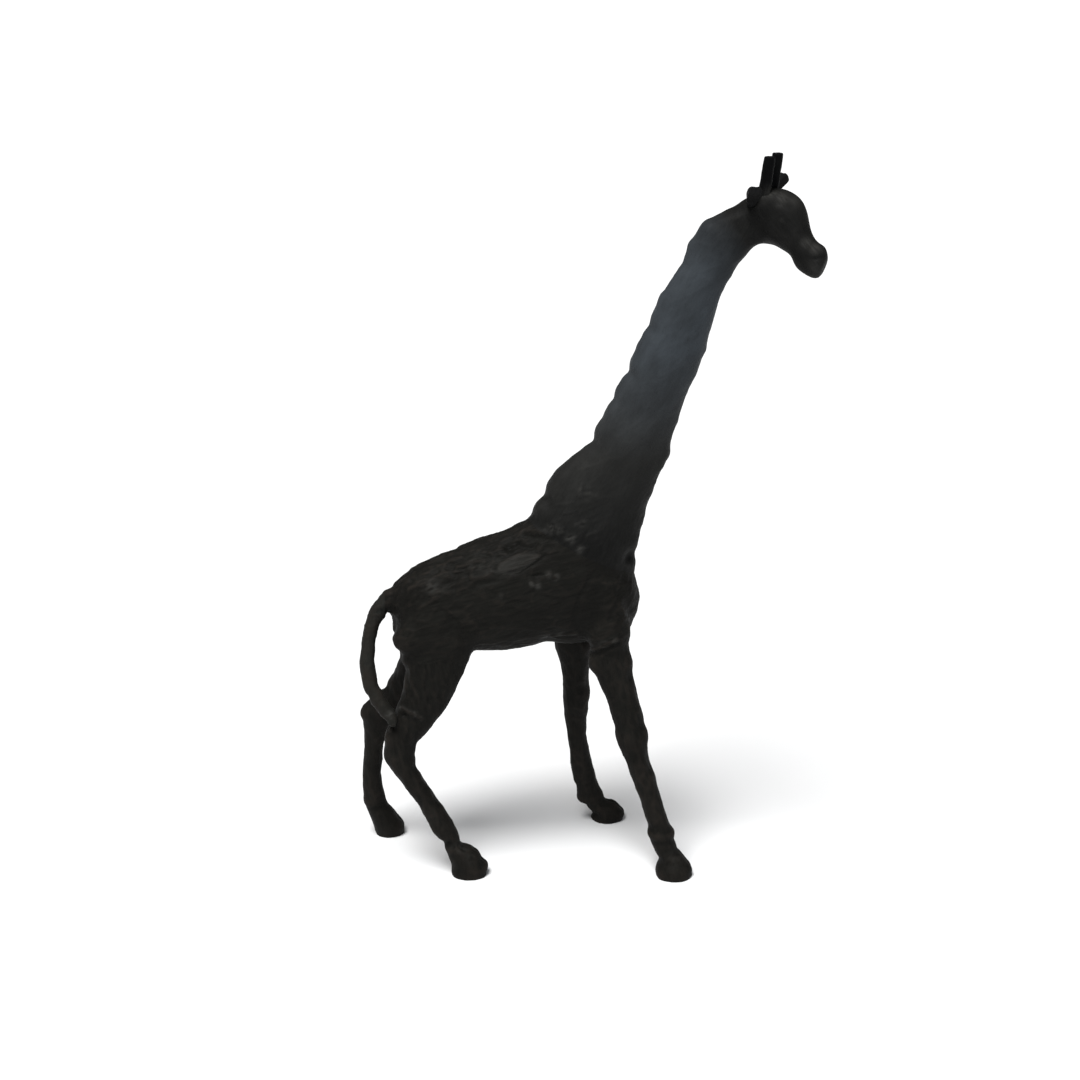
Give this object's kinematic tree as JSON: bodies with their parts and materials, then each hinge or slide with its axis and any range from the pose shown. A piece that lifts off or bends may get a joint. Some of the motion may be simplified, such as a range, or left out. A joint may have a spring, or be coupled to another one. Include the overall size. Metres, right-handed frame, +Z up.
{
  "type": "carved giraffe statue",
  "caption": "Standing giraffe figure hand-carved in near-black stained hardwood, long leaning neck, turned head, striding splayed legs and a curled tail joined to a hock.",
  "frame": {"origin": "on the floor, at the middle of the bounding box's bottom face", "axes": "+Z up; +X the way the animal faces; +Y its left side. The head is turned to its right, -Y."},
  "size_m": [0.5684, 0.208, 0.91],
  "materials": {
    "stained_wood": "hand-hewn hardwood, near-black stain, worn brown on ridges, satin wax",
    "dowel_wood": "plain turned hardwood dowel, unfinished"
  },
  "bodies": {
    "root": {"torso": "stained_wood", "neck": "stained_wood", "head": "stained_wood", "horn_right": "stained_wood", "horn_left": "stained_wood", "ear_right": "stained_wood", "ear_left": "stained_wood", "tail": "stained_wood", "foreleg_right": "stained_wood", "foreleg_left": "stained_wood", "hindleg_right": "stained_wood", "hindleg_left": "stained_wood", "neck_dowels": "dowel_wood", "head_dowel": "dowel_wood", "foreleg_dowels": "dowel_wood", "hindleg_dowels": "dowel_wood"}
  },
  "joints": []
}
